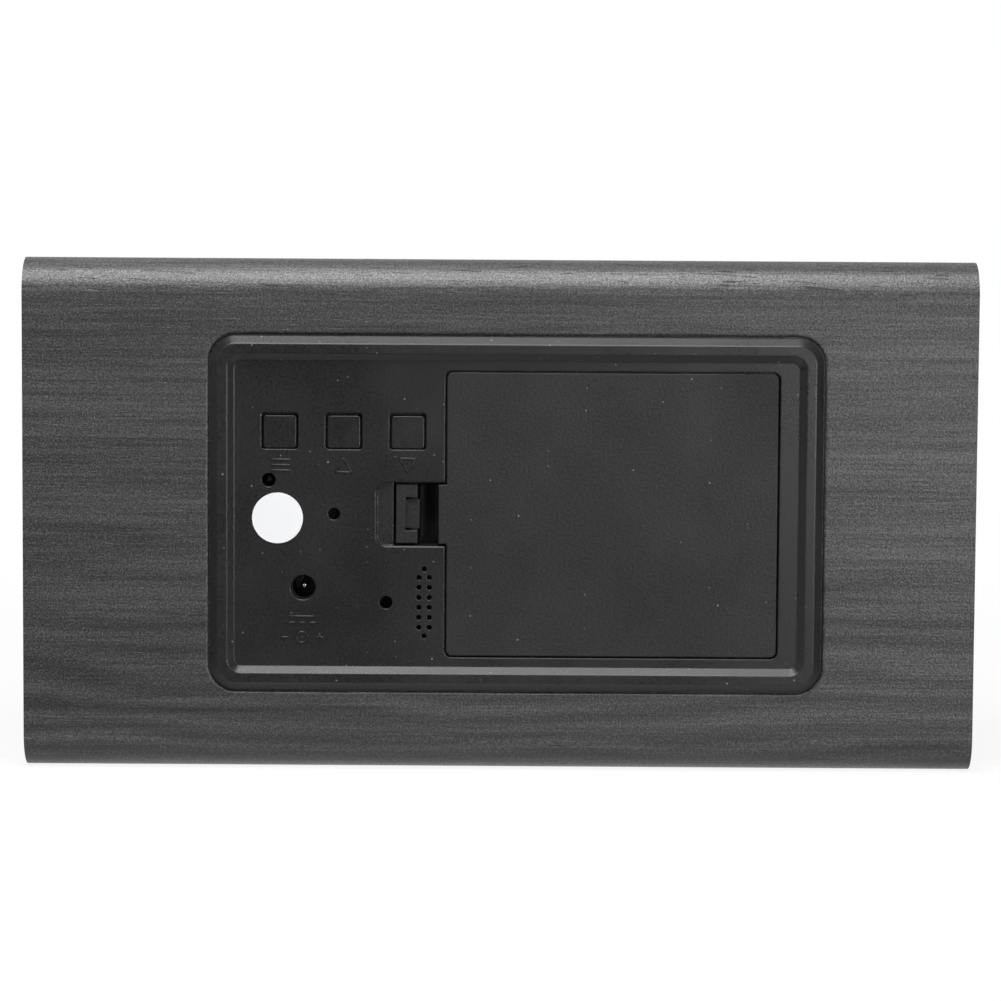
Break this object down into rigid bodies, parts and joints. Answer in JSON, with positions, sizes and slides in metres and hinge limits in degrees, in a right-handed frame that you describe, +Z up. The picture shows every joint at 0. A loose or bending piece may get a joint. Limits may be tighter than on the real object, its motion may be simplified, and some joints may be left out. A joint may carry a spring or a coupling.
{
  "type": "led desk clock",
  "caption": "Block desk clock in dark wood grain: lit segments shine through the front, and a rear panel carries push buttons, a latched battery door and a power socket.",
  "frame": {"origin": "middle of the base, on the surface that the clock stands on", "axes": "+Z up; the lit front faces -Y and the rear service panel faces +Y; +X runs along the length, to the right when seen from the front"},
  "size_m": [0.15, 0.0412, 0.0807],
  "materials": {
    "wood_grain": "dark grain, satin, short pores along the length",
    "fibreboard": "raw, fine",
    "panel_abs": "moulded, satin",
    "door_abs": "moulded, fine spark texture",
    "button_abs": "moulded, satin",
    "switch_body": "moulded, matt",
    "switch_plunger": "moulded, satin",
    "circuit_board": "green solder mask, semi-gloss",
    "screw_steel": "bright zinc plate",
    "socket_black": "moulded, semi-gloss",
    "socket_pin": "bright nickel plate",
    "sounder_black": "moulded, matt",
    "microphone_can": "drawn, satin",
    "sensor_bead": "dipped epoxy, glossy",
    "sticker_paper": "plain white, smooth",
    "cell_can": "printed jacket, semi-gloss",
    "contact_steel": "nickel plate, bright",
    "lead_red": "extruded sleeve, satin",
    "lead_black": "extruded sleeve, satin",
    "guide_white": "moulded, matt",
    "diffuser_milk": "milky sheet, satin",
    "led_package": "clear resin over white, glossy",
    "chip_epoxy": "moulded epoxy, matt",
    "crystal_can": "drawn, bright",
    "connector_white": "moulded, satin",
    "ribbon_grey": "extruded flat cable, satin"
  },
  "bodies": {
    "case": {"wood_case": "wood_grain", "front_veneer": "wood_grain", "left_end_panel": "fibreboard", "right_end_panel": "fibreboard", "left_end_veneer": "wood_grain", "right_end_veneer": "wood_grain", "rear_panel": "panel_abs", "button_switch_bodies": "switch_body", "reset_switch_body": "switch_body", "control_board": "circuit_board", "board_screws": "screw_steel", "dc_jack_housing": "socket_black", "dc_jack_pin": "socket_pin", "buzzer": "sounder_black", "microphone": "microphone_can", "temperature_sensor": "sensor_bead", "blank_sticker": "sticker_paper", "aaa_cells": "cell_can", "contact_plates": "contact_steel", "contact_springs": "contact_steel", "plus_lead": "lead_red", "minus_lead": "lead_black", "light_guide_frame": "guide_white", "diffuser_sheet": "diffuser_milk", "led_chips": "led_package", "display_board": "circuit_board", "display_screws": "screw_steel", "clock_chip": "chip_epoxy", "quartz_crystal": "crystal_can", "ribbon_connectors": "connector_white", "ribbon_cable": "ribbon_grey"},
    "door": {"battery_door": "door_abs"},
    "latch": {"door_latch": "door_abs"},
    "set_key": {"set_button": "button_abs", "set_switch_plunger": "switch_plunger"},
    "up_key": {"up_button": "button_abs", "up_switch_plunger": "switch_plunger"},
    "down_key": {"down_button": "button_abs", "down_switch_plunger": "switch_plunger"},
    "reset_key": {"reset_plunger": "switch_body"}
  },
  "joints": [
    {"name": "door_swing", "type": "hinge", "parent": "case", "child": "door", "pos_m": [-0.04371, 0.0196, 0.0407], "axis": [0, 0, 1], "range_deg": [0, 60]},
    {"name": "latch_flex", "type": "hinge", "parent": "door", "child": "latch", "pos_m": [0.01337, 0.0126, 0.0407], "axis": [0, 0, 1], "range_deg": [0, 10], "stiffness_Nm_per_rad": 0.02},
    {"name": "set_press", "type": "slide", "parent": "case", "child": "set_key", "axis": [0, -1, 0], "range_m": [0, 0.0004], "stiffness_N_per_m": 4000},
    {"name": "up_press", "type": "slide", "parent": "case", "child": "up_key", "axis": [0, -1, 0], "range_m": [0, 0.0004], "stiffness_N_per_m": 4000},
    {"name": "down_press", "type": "slide", "parent": "case", "child": "down_key", "axis": [0, -1, 0], "range_m": [0, 0.0004], "stiffness_N_per_m": 4000},
    {"name": "reset_press", "type": "slide", "parent": "case", "child": "reset_key", "axis": [0, -1, 0], "range_m": [0, 0.0003], "stiffness_N_per_m": 5000}
  ]
}
